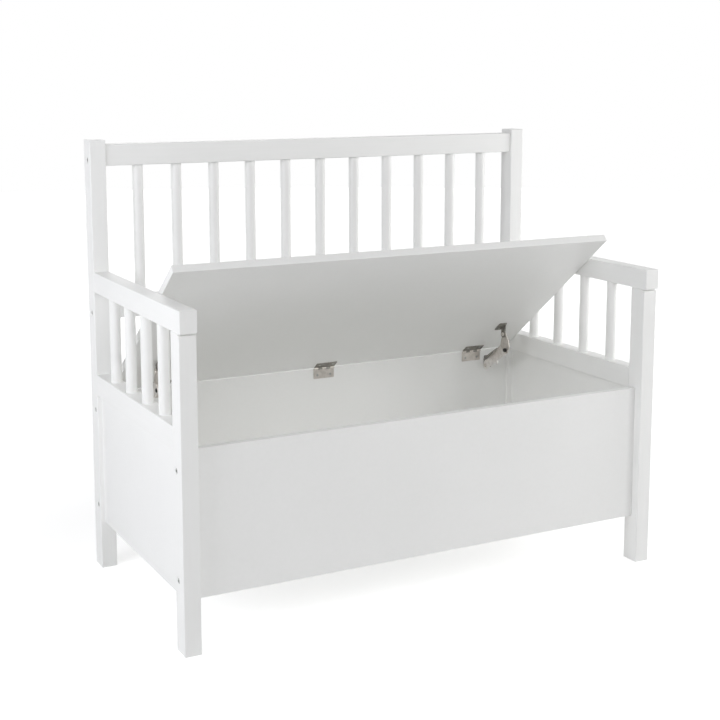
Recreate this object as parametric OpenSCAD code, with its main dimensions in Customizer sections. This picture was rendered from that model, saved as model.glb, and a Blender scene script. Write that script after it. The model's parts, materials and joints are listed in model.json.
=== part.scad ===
// Storage bench: side frames with spindles under square arms, a tall spindle
// back, a box with a bottom, and a seat lid on three hinges and two stays.
// Left and right are as seen from the front. The origin is on the floor at the
// middle of the outline, and +Y runs from the front to the back.

/* [Overall] */
// Width over the legs
bench_w = 1050; // [900:10:1400]
// Depth from the front leg's face to the back post's face
bench_d = 540; // [480:5:640]
// Height of the back posts
bench_h = 900; // [840:5:1000]

/* [Legs and arms] */
// Width of a leg, post, arm and side rail, side to side
leg_w = 33; // [30:1:44]
// Depth of a leg or post, front to back
leg_d = 42; // [40:1:60]
// Height of the arm's top
arm_top = 632; // [600:2:700]
// Height of the arm's section
arm_h = 42; // [34:1:56]
// How far the arm stands past the front leg
arm_nose = 5.5; // [1:0.5:20]

/* [Rails] */
// Height of a rail's section
rail_h = 44; // [38:1:60]
// Thickness of a back rail
rail_t = 33; // [28:1:38]
// Drop from the post's top to the top rail
top_rail_drop = 9; // [0:1:30]
// Height of the lower back rail's underside
lower_rail_z = 532; // [500:2:580]
// Height of the side rail's underside
side_rail_z = 374; // [350:1:390]

/* [Spindles] */
// Spindle diameter
spindle_d = 22; // [16:1:26]
// Spindles under each arm
arm_spindles = 4; // [2:1:4]
// Spindles in the back
back_spindles = 11; // [6:1:11]
// Diameter of a spindle's round tenon
tenon_d = 12; // [8:1:15]
// Length of a spindle's round tenon
tenon_l = 12; // [8:1:16]

/* [Box] */
// Thickness of the front and back panels
board_t = 16; // [15:1:19]
// How far the front and back panels are set in from the legs' faces
board_inset = 19; // [8:0.5:20]
// Height of the panels' lower edge
board_z = 99; // [60:1:110]
// Height of the front panel's top edge
seat_z = 378; // [360:1:400]
// How much lower the back panel's top edge is
back_drop = 2; // [1.5:0.5:6]
// Side panel thickness
side_t = 10; // [6:1:12]
// How far a side panel is set in from the leg's outer face
side_inset = 10; // [6:1:14]
// Depth of the grooves that hold a side panel
groove_depth = 6; // [4:0.5:7]
// Bottom panel thickness
bottom_t = 6; // [4:1:12]
// Side of the square battens under the bottom panel
batten = 15; // [12:1:20]

/* [Lid] */
// Lid thickness
lid_t = 16; // [12:1:22]
// Gap between the lid and each leg
lid_side_gap = 3; // [2:0.5:6]
// How far the lid stands past the front panel
lid_overhang = 3; // [0:0.5:12]
// Gap under the closed lid
lid_rest_gap = 0.3; // [0.2:0.1:1]
// Gap between the hinge axis and the lid's back edge
lid_back_gap = 0.5; // [0.3:0.1:1]
// How far the lid stands open, in degrees
lid_open = 38.3; // [0:0.1:70]

/* [Hinges] */
// Hinge length
hinge_len = 50; // [40:1:56]
// Width of a leaf from the hinge axis
leaf_w = 23; // [18:1:30]
// Leaf thickness
leaf_t = 1.5; // [1.3:0.1:2]
// Knuckle diameter
knuckle_d = 4.4; // [4:0.1:6]
// Hinge pin diameter
hinge_pin_d = 2; // [1.5:0.1:2.4]
// Diameter of a hinge pin's heads
hinge_head_d = 3.4; // [3:0.1:3.8]
// Height of a hinge pin's heads
hinge_head_h = 0.8; // [0.5:0.1:1]
// Distance from the bench's side to the middle of an end hinge
hinge_end = 134; // [132:1:260]
// Distance from a leaf's free edge to its screws
leaf_screw_edge = 8; // [6:0.5:10]
// Distance from a leaf's end to its screws
leaf_screw_end = 9; // [6:0.5:12]

/* [Stays] */
// Distance from the bench's side to the plane of a stay
stay_inset = 99; // [85:1:104]
// Thickness of the stay's plates
plate_t = 2; // [1.5:0.1:3]
// Distance from the back panel to the lower pivot
stay_base_out = 11; // [10:0.5:14]
// Drop from the hinge axis to the lower pivot
stay_base_drop = 36.3; // [34:0.1:44]
// Distance along the lid from the hinge axis to the upper pivot
stay_reach = 102; // [90:1:130]
// Drop from the hinge axis to the upper pivot with the lid closed
stay_lid_drop = 12; // [10:0.5:16]
// Gap between the lower arm's round end and the back panel
pivot_wall_gap = 1.5; // [1:0.5:3]
// Height of the lower arm's toe, past the elbow, above its pivot line
arm_toe_up = 20; // [17:1:21]
// Height of the corner of the toe's end
arm_end_up = 12; // [8:1:15]
// Height of the lower arm's heel, by the pivot, above its pivot line
arm_heel_up = 13.5; // [11:0.5:14]
// Distance of the heel's corner from the lower pivot
arm_heel_out = 8; // [8:1:12]
// Depth of the lower arm's plate below its pivot line
arm_plate_down = 7; // [6:0.5:9]
// Width of the lip folded in along the lower arm's upper edge
arm_lip_w = 7; // [4:0.5:7]
// Gap between the lip's end and the sweep of the upper arm
arm_lip_gap = 1; // [0.5:0.5:6]
// Distance of the lower arm's lug from the lower pivot
lug_out = 49; // [44:1:54]
// Radius of the lug's end
lug_r = 4; // [3:0.5:5]
// How far the upper arm's plate reaches in front of the elbow
upper_front = 14; // [12:1:16]
// How far the upper arm's plate reaches behind the elbow
upper_behind = 21; // [17:1:22]
// Height of the upper arm's widest part above the elbow
upper_wide_z = 10; // [8:1:14]
// Height of the upper arm's waist above the elbow
upper_waist_z = 24; // [20:1:25]
// How much each edge of the upper arm draws in up to its waist
upper_taper = 2; // [1:0.5:4]
// Rivet diameter
rivet_d = 5; // [4:0.5:6]
// Rivet head diameter
rivet_head_d = 9; // [8:0.5:11]
// Rivet head height
rivet_head_h = 1.6; // [1:0.1:2.5]
// Width of metal round a rivet's head
rivet_land = 3.5; // [3:0.5:5]
// Height of the elbow's cap
elbow_cap_h = 5; // [3:0.5:8]
// Width of the brackets' flanges
flange_w = 20; // [16:1:26]
// Length of the brackets' flanges
flange_l = 30; // [26:1:34]
// Height of the middle of a box bracket's flange above its pivot
flange_rise = 7; // [5:1:8]

/* [Fasteners] */
// Frame bolt diameter
bolt_d = 6; // [5:0.5:8]
// Bolt head diameter
bolt_head_d = 10; // [9:0.5:12]
// Bolt head height
bolt_head_h = 6; // [4:0.5:8]
// Depth of the bolt head's top below the leg's face
bolt_recess = 0.7; // [0:0.1:3]
// Width across the bolt's hexagon socket
socket_w = 5; // [4:0.5:6]
// How far a bolt runs into a rail or panel
bolt_run = 42; // [36:1:60]
// Distance of a barrel nut from the leg
nut_in = 34; // [25:1:34]
// Barrel nut diameter
nut_d = 10; // [9:0.5:11]
// Barrel nut length
nut_l = 12; // [10:0.5:13]
// Height of a bolt above a back rail's underside
rail_bolt_up = 12; // [10:0.5:16]
// Height of the lower bolts in the front and back panels
board_bolt_low = 136; // [125:1:160]
// Height of the upper bolts in the front and back panels
board_bolt_high = 340; // [310:1:350]
// Dowel diameter
dowel_d = 8; // [6:1:10]
// Dowel length
dowel_l = 36; // [28:1:40]
// Distance from a rail's or arm's edge to a dowel
dowel_edge = 13; // [11:0.5:14]
// Distance from a panel's bolt to the dowel beside it
dowel_step = 45; // [30:1:60]
// Screw diameter
screw_d = 3; // [2.5:0.1:3.5]
// Screw head diameter
screw_head_d = 5.4; // [5:0.1:6]
// Length of the hardware screws
screw_l = 12; // [9:0.5:14]
// Length of the screws through a batten
batten_screw_l = 24; // [22:1:26]
// Length of the screws through the bottom panel
bottom_screw_l = 15; // [13:0.5:17]

/* [Fits] */
// Gap round a glued tenon, dowel, bolt or screw
pin_fit = 0.1; // [0.05:0.05:0.3]
// Gap round a bolt's sunk head
head_fit = 0.5; // [0.3:0.1:1]
// Gap round a pivot's pin
pivot_fit = 0.05; // [0.02:0.01:0.1]
// Gap between moving plates
plate_gap = 0.3; // [0.3:0.1:0.8]
// Gap past the end of a tenon, dowel or nut
end_gap = 0.5; // [0.3:0.1:1]
// Gap round the bottom panel
panel_gap = 0.3; // [0.2:0.1:1]

/* [Hidden] */
$fn = 32;
SIDES = ["left", "right"];
HINGES = ["left", "middle", "right"];
cut = 1;                        // how far a cutting tool or a shank runs past a face
web_in = 0.9;                   // where a web's corners lie, as a share of a round end's radius
heel_turn = 30;                 // where the heel meets the arm's round end, from straight up
cross_w = 0.6;                  // width of a screw's cross slot
cross_deep = 0.7;               // depth of a screw's cross slot
batten_screw_n = 4;             // screws along a batten, which miss the ones from above
bottom_screw_n = 3;             // screws along each side of the bottom
lacquer = [0.94, 0.94, 0.92];
nickel = [0.70, 0.66, 0.62];
zinc = [0.62, 0.62, 0.62];
beech = [0.80, 0.64, 0.44];
black = [0.05, 0.05, 0.05];

// Planes of the frame, on the right-hand side
side_x = bench_w / 2;
inner_x = side_x - leg_w;
arm_x = side_x - leg_w / 2;
panel_x = side_x - side_inset - side_t;
front_y = -(bench_d - arm_nose) / 2;
back_y = front_y + bench_d;
leg_back_y = front_y + leg_d;
post_y = back_y - leg_d;
leg_mid_y = front_y + leg_d / 2;
rail_y = back_y - leg_d / 2;
front_board_y = front_y + board_inset;
front_board_in = front_board_y + board_t;
back_board_y = back_y - board_inset - board_t;
front_board_mid = front_board_y + board_t / 2;
back_board_mid = back_board_y + board_t / 2;
arm_z = arm_top - arm_h;
top_rail_z = bench_h - top_rail_drop - rail_h;
bottom_z = board_z + batten;

// Hinge axis and the lid on it
knuckle_r = knuckle_d / 2;
axis_off = knuckle_r + plate_gap;
hinge_y = back_board_y - axis_off;
hinge_z = seat_z + lid_rest_gap - axis_off;
lid_len = hinge_y - front_board_y + lid_overhang;
lid_x = inner_x - lid_side_gap;
knuckles = 5;
hinge_xs = [-side_x + hinge_end, 0, side_x - hinge_end];

// Pivots of a stay, as [y, z]: arms and lid make a parallelogram
stay_x = side_x - stay_inset;
base_pivot = [hinge_y + axis_off - stay_base_out, hinge_z - stay_base_drop];
reach_len = norm([stay_reach, stay_lid_drop]);
reach_tilt = atan2(stay_lid_drop, stay_reach);
elbow = base_pivot + reach_len * [-cos(lid_open - reach_tilt), sin(lid_open - reach_tilt)];
upper_link = [hinge_y, hinge_z] - base_pivot;
pivot_r = stay_base_out - pivot_wall_gap;
ear_r = rivet_head_d / 2 + rivet_land;
rivet_hole_d = rivet_d + 2 * pivot_fit;

// Inner faces of a stay's plates, from the outside in: ear on the box, lower arm
// on stay_x, upper arm, ear under the lid
box_ear_x = stay_x + plate_t + plate_gap;
upper_x = stay_x - plate_gap - plate_t;
lid_ear_x = upper_x - plate_gap - plate_t;
flange_mid = stay_reach + flange_l / 2;
flange_screw_in = 0.6 * flange_w;
flange_screw_step = flange_l / 4;
box_flange_z = base_pivot[1] + flange_rise;

// Bolts and dowels in the frame's right-hand side, as [y, z]
front_bolts = [for (z = [board_bolt_low, board_bolt_high]) [front_board_mid, z]];
back_board_bolts = [for (z = [board_bolt_low, board_bolt_high]) [back_board_mid, z]];
top_bolt = [rail_y, top_rail_z + rail_bolt_up];
lower_bolt = [rail_y, lower_rail_z + rail_bolt_up];
frame_bolt_points = concat(front_bolts, back_board_bolts, [top_bolt, lower_bolt]);
board_dowel_zs = [board_bolt_low + dowel_step, board_bolt_high - dowel_step];
front_dowels = [for (z = board_dowel_zs) [front_board_mid, z]];
back_dowels = [for (z = board_dowel_zs) [back_board_mid, z]];
top_dowel = [rail_y, top_rail_z + rail_h - dowel_edge];
lower_dowel = [rail_y, lower_rail_z + rail_h - dowel_edge];
rail_dowel_zs = [side_rail_z + dowel_edge, side_rail_z + rail_h - dowel_edge];
arm_dowel_zs = [arm_z + dowel_edge, arm_top - dowel_edge];

// Evenly spaced middles of n pieces of width w between two faces
function middles(from, to, n, w) =
    let (gap = (to - from - n * w) / (n + 1))
    [for (i = [0:n - 1]) from + (i + 1) * gap + (i + 0.5) * w];

arm_spindle_ys = middles(leg_back_y, post_y, arm_spindles, spindle_d);
back_spindle_xs = middles(-inner_x, inner_x, back_spindles, spindle_d);
batten_screw_xs = middles(-inner_x, inner_x, batten_screw_n, 0);
bottom_screw_xs = middles(-inner_x, inner_x, bottom_screw_n, 0);

function numbered(stem, n) = [for (i = [1:n]) str(stem, "_", i)];
function sided(stems) = [for (stem = stems) for (side = SIDES) str(stem, "_", side)];
function hinged(stems) = [for (stem = stems) for (place = HINGES) str(stem, "_", place)];

// ---- Places ----

// Draws a right-hand piece, or its mirror image on the left
module on_side(side) {
    if (side == "left") mirror([1, 0, 0]) children();
    else children();
}

module both_sides() {
    for (side = SIDES) on_side(side) children();
}

// The lid's own frame: origin on the hinge axis, as it lies when closed
module lid_frame() {
    translate([0, hinge_y, hinge_z]) rotate([-lid_open, 0, 0]) children();
}

// A box from its lowest to its highest corner
module box(low, high) {
    translate(low) cube(high - low);
}

// A cylinder along X through [y, z]
module x_rod(x0, x1, at, d) {
    translate([x0, at[0], at[1]]) rotate([0, 90, 0]) cylinder(h = x1 - x0, d = d);
}

// A stay's plate in the plane x0, with corners at [y, z] points
module web(x0, points) {
    translate([x0, 0, 0]) rotate([90, 0, 90]) linear_extrude(plate_t) polygon(points);
}

// A round end of a stay's plate
module disc(x0, at, r) {
    x_rod(x0, x0 + plate_t, at, 2 * r);
}

// ---- Holes that the fasteners need, on the right-hand side ----

module bolt_holes(points) {
    for (p = points) {
        x_rod(inner_x - bolt_run - end_gap, side_x + cut, p, bolt_d + 2 * pin_fit);
        x_rod(side_x - bolt_recess - bolt_head_h, side_x + cut, p, bolt_head_d + 2 * head_fit);
        translate([inner_x - nut_in, p[0] - nut_l / 2 - end_gap, p[1]])
            rotate([-90, 0, 0]) cylinder(h = nut_l + rail_t, d = nut_d + 2 * pin_fit);
    }
}

module dowel(grow, extra) {
    cylinder(h = dowel_l + 2 * extra, d = dowel_d + 2 * grow, center = true);
}

module x_dowels(points, grow = 0, extra = 0) {
    for (p = points)
        translate([inner_x, p[0], p[1]]) rotate([0, 90, 0]) dowel(grow, extra);
}

module y_dowels(y, zs, grow = 0, extra = 0) {
    for (z = zs)
        translate([arm_x, y, z]) rotate([90, 0, 0]) dowel(grow, extra);
}

module arm_dowel(grow = 0, extra = 0) {
    translate([arm_x, leg_mid_y, arm_z]) dowel(grow, extra);
}

module tenon_hole() {
    cylinder(h = 2 * (tenon_l + end_gap), d = tenon_d + 2 * pin_fit, center = true);
}

// Groove for the side panel's edge in a leg, post and side rail
module panel_groove() {
    box([panel_x - pin_fit, leg_back_y - groove_depth, board_z - pin_fit],
        [panel_x + side_t + pin_fit, post_y + groove_depth, side_rail_z + groove_depth]);
}

// ---- Screws: head flush at z = 0, running down ----

module screw(length) {
    neck = (screw_head_d - screw_d) / 2;
    difference() {
        rotate_extrude() polygon([[0, 0], [screw_head_d / 2, 0], [screw_d / 2, -neck],
                                  [screw_d / 2, -length], [0, -length]]);
        for (turn = [0, 90])
            rotate([0, 0, turn]) cube([screw_d, cross_w, 2 * cross_deep], center = true);
    }
}

module screw_hole(length) {
    head_r = screw_head_d / 2 + pin_fit;
    shank_r = screw_d / 2 + pin_fit;
    rotate_extrude() polygon([[0, cut], [head_r, cut], [head_r, 0],
                              [shank_r, shank_r - head_r], [shank_r, -length - end_gap],
                              [0, -length - end_gap]]);
}

// Places of the screws, each with its head's top at the origin and the shank down
module box_leaf_screws() {
    for (x = hinge_xs) for (dx = [-1, 1] * (hinge_len / 2 - leaf_screw_end))
        translate([x + dx, back_board_y - leaf_t, hinge_z - leaf_w + leaf_screw_edge])
            rotate([90, 0, 0]) children();
}

module lid_leaf_screws() {
    for (x = hinge_xs) for (dx = [-1, 1] * (hinge_len / 2 - leaf_screw_end))
        translate([x + dx, -leaf_w + leaf_screw_edge, axis_off - leaf_t])
            rotate([180, 0, 0]) children();
}

module box_bracket_screws() {
    both_sides() for (dz = [-1, 1] * flange_screw_step)
        translate([box_ear_x + flange_screw_in, back_board_y - plate_t, box_flange_z + dz])
            rotate([90, 0, 0]) children();
}

module lid_bracket_screws() {
    both_sides() for (dy = [-1, 1] * flange_screw_step)
        translate([lid_ear_x + plate_t - flange_screw_in, -flange_mid + dy, axis_off - plate_t])
            rotate([180, 0, 0]) children();
}

module batten_screws() {
    for (x = batten_screw_xs) {
        translate([x, front_board_in + batten, board_z + batten / 2])
            rotate([-90, 0, 0]) children();
        translate([x, back_board_y - batten, board_z + batten / 2])
            rotate([90, 0, 0]) children();
    }
}

module bottom_screws() {
    for (x = bottom_screw_xs) for (y = [front_board_in + batten / 2, back_board_y - batten / 2])
        translate([x, y, bottom_z + bottom_t]) children();
}

// ---- Frame ----

module front_leg(side) {
    color(lacquer) on_side(side) difference() {
        box([inner_x, front_y, 0], [side_x, leg_back_y, arm_z]);
        panel_groove();
        bolt_holes(front_bolts);
        x_dowels(front_dowels, pin_fit, end_gap);
        y_dowels(leg_back_y, rail_dowel_zs, pin_fit, end_gap);
        arm_dowel(pin_fit, end_gap);
    }
}

module back_post(side) {
    color(lacquer) on_side(side) difference() {
        box([inner_x, post_y, 0], [side_x, back_y, bench_h]);
        panel_groove();
        bolt_holes(concat(back_board_bolts, [top_bolt, lower_bolt]));
        x_dowels(concat(back_dowels, [top_dowel, lower_dowel]), pin_fit, end_gap);
        y_dowels(post_y, concat(rail_dowel_zs, arm_dowel_zs), pin_fit, end_gap);
    }
}

module arm(side) {
    color(lacquer) on_side(side) difference() {
        box([inner_x, front_y - arm_nose, arm_z], [side_x, post_y, arm_top]);
        arm_dowel(pin_fit, end_gap);
        y_dowels(post_y, arm_dowel_zs, pin_fit, end_gap);
        for (y = arm_spindle_ys) translate([arm_x, y, arm_z]) tenon_hole();
    }
}

module side_rail(side) {
    color(lacquer) on_side(side) difference() {
        box([inner_x, leg_back_y, side_rail_z], [side_x, post_y, side_rail_z + rail_h]);
        panel_groove();
        for (y = [leg_back_y, post_y]) y_dowels(y, rail_dowel_zs, pin_fit, end_gap);
        for (y = arm_spindle_ys) translate([arm_x, y, side_rail_z + rail_h]) tenon_hole();
    }
}

module side_panel(side) {
    tongue = groove_depth - end_gap;
    color(lacquer) on_side(side)
        box([panel_x, leg_back_y - tongue, board_z],
            [panel_x + side_t, post_y + tongue, side_rail_z + tongue]);
}

// A round bar between two rails with a thinner tenon in each
module spindle(z0, z1) {
    translate([0, 0, z0]) cylinder(h = z1 - z0, d = spindle_d);
    translate([0, 0, z0 - tenon_l]) cylinder(h = z1 - z0 + 2 * tenon_l, d = tenon_d);
}

module arm_spindle(side, i) {
    color(lacquer) on_side(side) translate([arm_x, arm_spindle_ys[i - 1], 0])
        spindle(side_rail_z + rail_h, arm_z);
}

module back_spindle(i) {
    color(lacquer) translate([back_spindle_xs[i - 1], rail_y, 0])
        spindle(lower_rail_z + rail_h, top_rail_z);
}

// Back rail at height z, with its spindles' sockets at height socket_z
module back_rail(z, socket_z, bolt, pin) {
    color(lacquer) difference() {
        box([-inner_x, rail_y - rail_t / 2, z], [inner_x, rail_y + rail_t / 2, z + rail_h]);
        both_sides() {
            bolt_holes([bolt]);
            x_dowels([pin], pin_fit, end_gap);
        }
        for (x = back_spindle_xs) translate([x, rail_y, socket_z]) tenon_hole();
    }
}

module back_top_rail() {
    back_rail(top_rail_z, top_rail_z, top_bolt, top_dowel);
}

module back_lower_rail() {
    back_rail(lower_rail_z, lower_rail_z + rail_h, lower_bolt, lower_dowel);
}

// ---- Box ----

module front_panel() {
    color(lacquer) difference() {
        box([-inner_x, front_board_y, board_z], [inner_x, front_board_in, seat_z]);
        both_sides() {
            bolt_holes(front_bolts);
            x_dowels(front_dowels, pin_fit, end_gap);
        }
        batten_screws() screw_hole(batten_screw_l);
    }
}

module back_panel() {
    color(lacquer) difference() {
        box([-inner_x, back_board_y, board_z], [inner_x, back_board_y + board_t, seat_z - back_drop]);
        both_sides() {
            bolt_holes(back_board_bolts);
            x_dowels(back_dowels, pin_fit, end_gap);
        }
        batten_screws() screw_hole(batten_screw_l);
        box_leaf_screws() screw_hole(screw_l);
        box_bracket_screws() screw_hole(screw_l);
    }
}

// The bottom fits between the panels and round the four legs
module bottom_panel() {
    x = panel_x - panel_gap;
    leg_x = inner_x - panel_gap;
    color(lacquer) difference() {
        union() {
            box([-x, leg_back_y + panel_gap, bottom_z], [x, post_y - panel_gap, bottom_z + bottom_t]);
            box([-leg_x, front_board_in + panel_gap, bottom_z],
                [leg_x, back_board_y - panel_gap, bottom_z + bottom_t]);
        }
        bottom_screws() screw_hole(bottom_screw_l);
    }
}

module bottom_battens() {
    color(lacquer) difference() {
        for (y = [front_board_in, back_board_y - batten])
            box([-inner_x, y, board_z], [inner_x, y + batten, board_z + batten]);
        batten_screws() screw_hole(batten_screw_l);
        bottom_screws() screw_hole(bottom_screw_l);
    }
}

// ---- Lid and hinges ----

module seat_lid() {
    color(lacquer) lid_frame() difference() {
        box([-lid_x, -lid_len, axis_off], [lid_x, -lid_back_gap, axis_off + lid_t]);
        lid_leaf_screws() screw_hole(screw_l);
        lid_bracket_screws() screw_hole(screw_l);
    }
}

// A leaf that hangs down from the hinge axis, with the knuckles numbered in own
module hinge_leaf(own) {
    pitch = hinge_len / knuckles;
    leaf_top = -knuckle_r - 2 * plate_gap;
    difference() {
        union() {
            box([-hinge_len / 2, axis_off - leaf_t, -leaf_w],
                [hinge_len / 2, axis_off, leaf_top]);
            for (i = own) {
                x0 = -hinge_len / 2 + i * pitch + (i == 0 ? 0 : plate_gap / 2);
                x1 = -hinge_len / 2 + (i + 1) * pitch - (i == knuckles - 1 ? 0 : plate_gap / 2);
                box([x0, axis_off - leaf_t, leaf_top - plate_gap], [x1, axis_off, 0]);
                x_rod(x0, x1, [0, 0], knuckle_d);
            }
        }
        x_rod(-hinge_len, hinge_len, [0, 0], hinge_pin_d + 2 * pivot_fit);
    }
}

module hinge_box_leaf(i) {
    color(nickel) difference() {
        translate([hinge_xs[i], hinge_y, hinge_z]) hinge_leaf([0, 2, 4]);
        box_leaf_screws() screw_hole(screw_l);
    }
}

module hinge_lid_leaf(i) {
    color(nickel) lid_frame() difference() {
        translate([hinge_xs[i], 0, 0]) mirror([0, 1, -1]) hinge_leaf([1, 3]);
        lid_leaf_screws() screw_hole(screw_l);
    }
}

module hinge_pins() {
    reach = hinge_len / 2 + hinge_head_h;
    color(nickel) for (x = hinge_xs) translate([x, hinge_y, hinge_z]) {
        x_rod(-reach, reach, [0, 0], hinge_pin_d);
        for (x0 = [-reach, hinge_len / 2])
            x_rod(x0, x0 + hinge_head_h, [0, 0], hinge_head_d);
    }
}

module box_screws() {
    color(zinc) {
        box_leaf_screws() screw(screw_l);
        box_bracket_screws() screw(screw_l);
        batten_screws() screw(batten_screw_l);
        bottom_screws() screw(bottom_screw_l);
    }
}

module lid_screws() {
    color(zinc) lid_frame() {
        lid_leaf_screws() screw(screw_l);
        lid_bracket_screws() screw(screw_l);
    }
}

// ---- Lid stays ----

module rivet_hole(at) {
    x_rod(lid_ear_x - cut, box_ear_x + plate_t + cut, at, rivet_hole_d);
}

// Bracket screwed to the back panel, whose ear carries the lower arm
module stay_box_bracket(side) {
    inside = web_in * ear_r;
    color(nickel) on_side(side) difference() {
        union() {
            box([box_ear_x, back_board_y - plate_t, box_flange_z - flange_l / 2],
                [box_ear_x + flange_w, back_board_y, box_flange_z + flange_l / 2]);
            disc(box_ear_x, base_pivot, ear_r);
            web(box_ear_x, [base_pivot - [0, inside], base_pivot + [0, inside],
                            [back_board_y, box_flange_z + flange_l / 2],
                            [back_board_y, box_flange_z - flange_l / 2]]);
        }
        rivet_hole(base_pivot);
        box_bracket_screws() screw_hole(screw_l);
    }
}

// Lower arm, from its pivot at the origin to the elbow in -Y
module lower_arm_plate() {
    inside = web_in * pivot_r;
    end = -reach_len - web_in * arm_plate_down;
    toe = [-reach_len + arm_plate_down, arm_toe_up];
    heel = [-arm_heel_out, arm_heel_up];
    edge_tilt = atan2(toe[1] - heel[1], heel[0] - toe[0]);
    edge_l = norm(toe - heel);
    lip_from = norm([upper_behind, upper_waist_z]) + arm_lip_gap - arm_plate_down;
    disc(stay_x, [0, 0], pivot_r);
    disc(stay_x, [-reach_len, 0], arm_plate_down);
    web(stay_x, [[0, -inside], [-pivot_r, -arm_plate_down], [-reach_len, -arm_plate_down],
                 [end, 0], [end, arm_end_up], toe, heel,
                 inside * [sin(heel_turn), cos(heel_turn)]]);
    web(stay_x, [[-lug_out - lug_r, -arm_plate_down - lug_r], [-lug_out - lug_r, 0],
                 [-lug_out + lug_r, 0], [-lug_out + lug_r, -arm_plate_down - lug_r]]);
    disc(stay_x, [-lug_out, -arm_plate_down - lug_r], lug_r);
    // Lip, wide by the heel and narrow towards the elbow
    translate([stay_x, toe[0], toe[1]]) rotate([-edge_tilt, 0, 0]) translate([0, 0, -plate_t])
        linear_extrude(plate_t)
            polygon([[plate_t, lip_from], [-plate_t, lip_from], [-arm_lip_w, (lip_from + edge_l) / 2],
                     [-arm_lip_w, edge_l], [plate_t, edge_l]]);
}

module stay_lower_arm(side) {
    color(nickel) on_side(side) difference() {
        translate([0, base_pivot[0], base_pivot[1]]) rotate([reach_tilt - lid_open, 0, 0])
            lower_arm_plate();
        rivet_hole(base_pivot);
        rivet_hole(elbow);
    }
}

module stay_upper_arm(side) {
    inside = web_in * ear_r;
    color(nickel) on_side(side) difference() {
        translate([0, elbow[0], elbow[1]]) {
            disc(upper_x, [0, 0], ear_r);
            disc(upper_x, upper_link, ear_r);
            web(upper_x, [[0, -inside], [-upper_front, upper_wide_z],
                          [upper_taper - upper_front, upper_waist_z],
                          upper_link - [inside, 0], upper_link + [inside, 0],
                          [upper_behind - upper_taper, upper_waist_z],
                          [upper_behind, upper_wide_z]]);
        }
        rivet_hole(elbow);
        rivet_hole(elbow + upper_link);
    }
}

// Bracket screwed under the lid, whose ear holds the upper arm
module stay_lid_bracket(side) {
    pivot = [-stay_reach, -stay_lid_drop];
    inside = [web_in * ear_r, 0];
    color(nickel) lid_frame() on_side(side) difference() {
        union() {
            box([lid_ear_x + plate_t - flange_w, -flange_mid - flange_l / 2, axis_off - plate_t],
                [lid_ear_x + plate_t, -flange_mid + flange_l / 2, axis_off]);
            disc(lid_ear_x, pivot, ear_r);
            web(lid_ear_x, [pivot + inside, pivot - inside, [-flange_mid - flange_screw_step, axis_off],
                            [-flange_mid + flange_l / 2, axis_off]]);
        }
        rivet_hole(pivot);
        lid_bracket_screws() screw_hole(screw_l);
    }
}

// A rivet along X through [y, z], with its heads outside x0 and x1
module rivet(x0, x1, at) {
    x_rod(x0 - rivet_head_h, x1 + rivet_head_h, at, rivet_d);
    x_rod(x0 - rivet_head_h, x0, at, rivet_head_d);
    x_rod(x1, x1 + rivet_head_h, at, rivet_head_d);
}

module stay_elbow_rivet(side) {
    cap_x = upper_x - plate_gap;
    color(black) on_side(side) {
        rivet(cap_x, stay_x + plate_t, elbow);
        x_rod(cap_x - elbow_cap_h, cap_x, elbow, rivet_head_d);
    }
}

module stay_box_rivets() {
    color(nickel) both_sides() rivet(stay_x - plate_gap, box_ear_x + plate_t, base_pivot);
}

module stay_lid_rivets() {
    color(nickel) lid_frame() both_sides()
        rivet(lid_ear_x, upper_x + plate_t + plate_gap, [-stay_reach, -stay_lid_drop]);
}

// ---- Frame fasteners ----

module frame_bolts() {
    seat_x = side_x - bolt_recess - bolt_head_h;
    color(zinc) both_sides() for (p = frame_bolt_points) difference() {
        union() {
            x_rod(inner_x - bolt_run, seat_x + cut, p, bolt_d);
            x_rod(seat_x, seat_x + bolt_head_h, p, bolt_head_d);
        }
        translate([seat_x + bolt_head_h / 2, p[0], p[1]]) rotate([0, 90, 0])
            cylinder(h = bolt_head_h, d = socket_w / cos(30), $fn = 6);
    }
}

module barrel_nuts() {
    color(zinc) both_sides() for (p = frame_bolt_points) difference() {
        translate([inner_x - nut_in, p[0], p[1]]) rotate([90, 0, 0])
            cylinder(h = nut_l, d = nut_d, center = true);
        x_rod(inner_x - nut_in - nut_d, inner_x, p, bolt_d + 2 * pin_fit);
    }
}

module frame_dowels() {
    color(beech) both_sides() {
        x_dowels(concat(front_dowels, back_dowels, [top_dowel, lower_dowel]));
        y_dowels(leg_back_y, rail_dowel_zs);
        y_dowels(post_y, concat(rail_dowel_zs, arm_dowel_zs));
        arm_dowel();
    }
}

for (side = SIDES) {
    front_leg(side);
    back_post(side);
    arm(side);
    side_rail(side);
    side_panel(side);
    for (i = [1:arm_spindles])
        arm_spindle(side, i);
    stay_box_bracket(side);
    stay_lower_arm(side);
    stay_upper_arm(side);
    stay_lid_bracket(side);
    stay_elbow_rivet(side);
}
for (i = [0:len(HINGES) - 1]) {
    hinge_box_leaf(i);
    hinge_lid_leaf(i);
}
for (i = [1:back_spindles])
    back_spindle(i);
back_top_rail();
back_lower_rail();
front_panel();
back_panel();
bottom_panel();
bottom_battens();
seat_lid();
hinge_pins();
box_screws();
lid_screws();
stay_box_rivets();
stay_lid_rivets();
frame_bolts();
barrel_nuts();
frame_dowels();
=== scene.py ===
"""A white storage bench: spindle back and arms, a box, a hinged lid and two stays.

Metres, with the origin on the floor at the middle of the outline. Left and right
are as seen from the front, and +Y runs from the front to the back.
"""

import json
import math

import bpy
from mathutils import Matrix, Vector


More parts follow.
